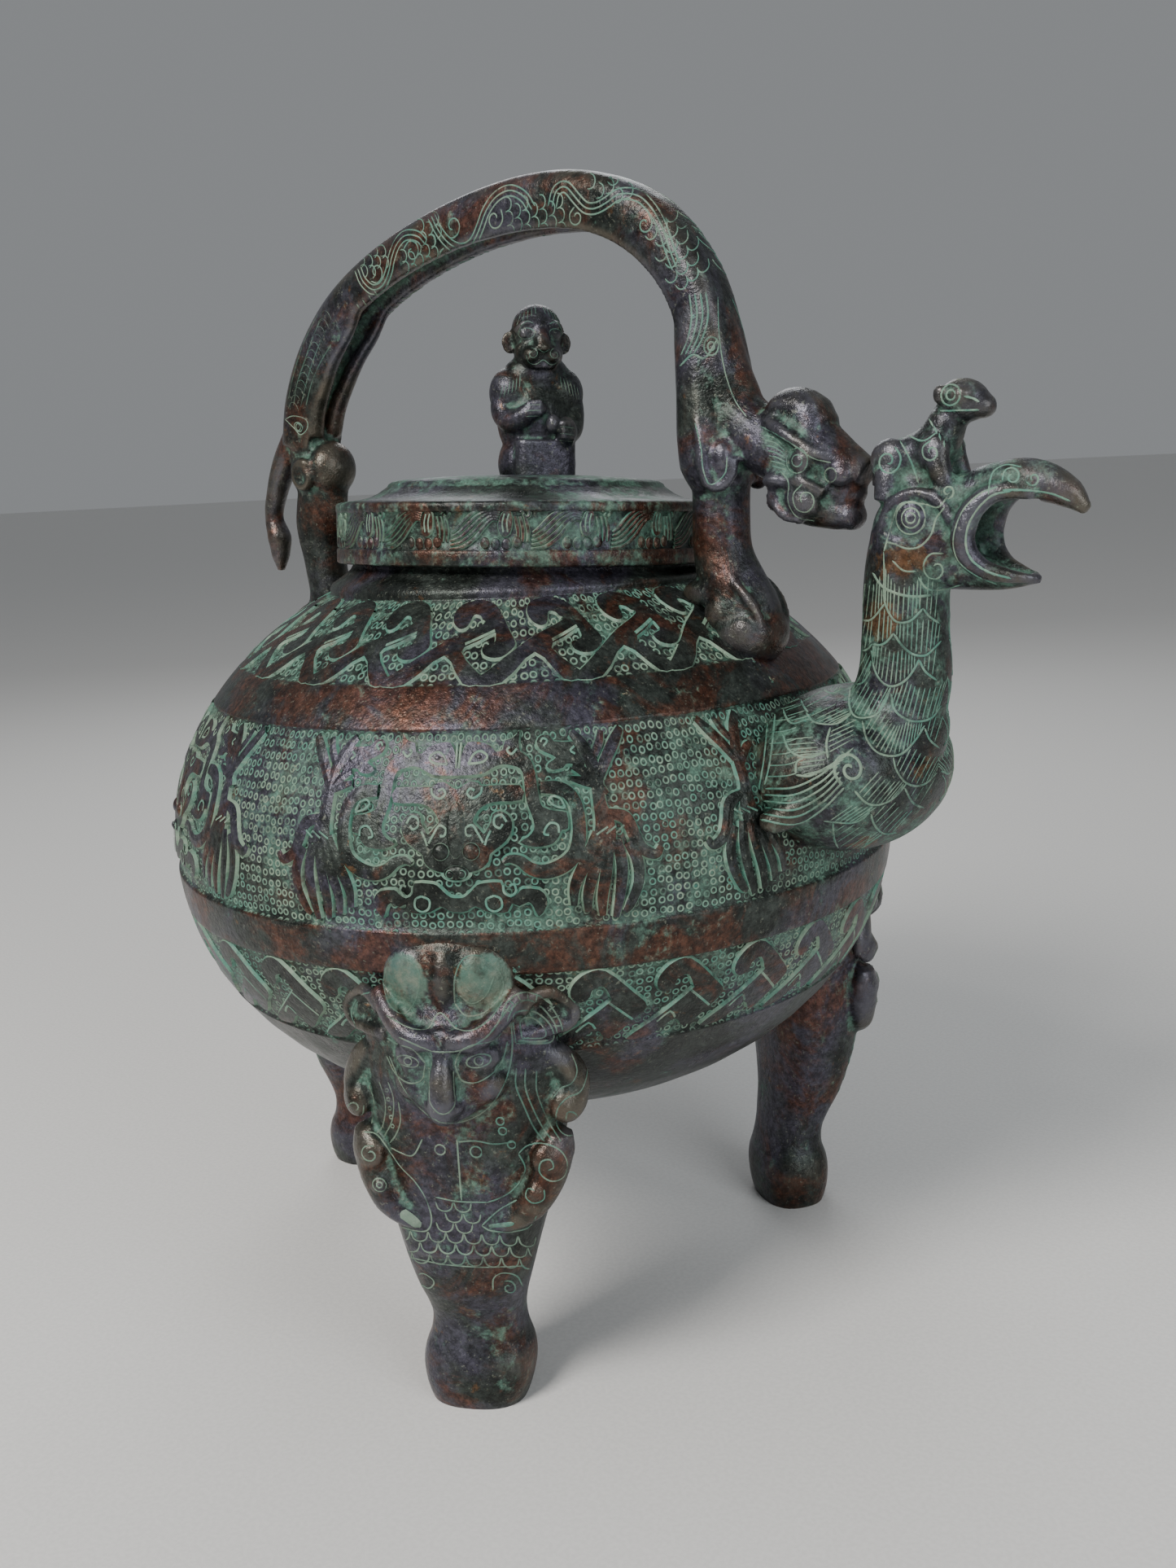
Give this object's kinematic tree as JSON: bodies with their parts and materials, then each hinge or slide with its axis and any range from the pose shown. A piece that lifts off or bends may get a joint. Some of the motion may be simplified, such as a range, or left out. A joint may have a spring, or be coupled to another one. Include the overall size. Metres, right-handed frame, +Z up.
{
  "type": "bronze he pouring vessel",
  "caption": "Round bronze pouring vessel on mask-faced legs, with a bird spout, dragon arch handle and a loose lid with a seated monkey knob.",
  "frame": {"origin": "middle of the footprint of the whole vessel, on the plane that the feet stand on; the bowl's own axis is 22 mm towards -X from it", "axes": "+Z up through the bowl and the handle, +X the way the spout points, +Y to its left"},
  "size_m": [0.2602, 0.1916, 0.2872],
  "materials": {
    "bronze": "aged cast bronze, dark green-black with verdigris in the recesses and red-brown oxide on the raised bands",
    "lid_bronze": "aged cast bronze, dark blue-green with pale green deposits"
  },
  "bodies": {
    "root": {"bowl": "bronze", "shoulder": "bronze", "spout": "bronze", "handle": "bronze", "leg_front_right": "bronze", "leg_front_left": "bronze", "leg_rear": "bronze", "lid": "lid_bronze"}
  },
  "joints": []
}
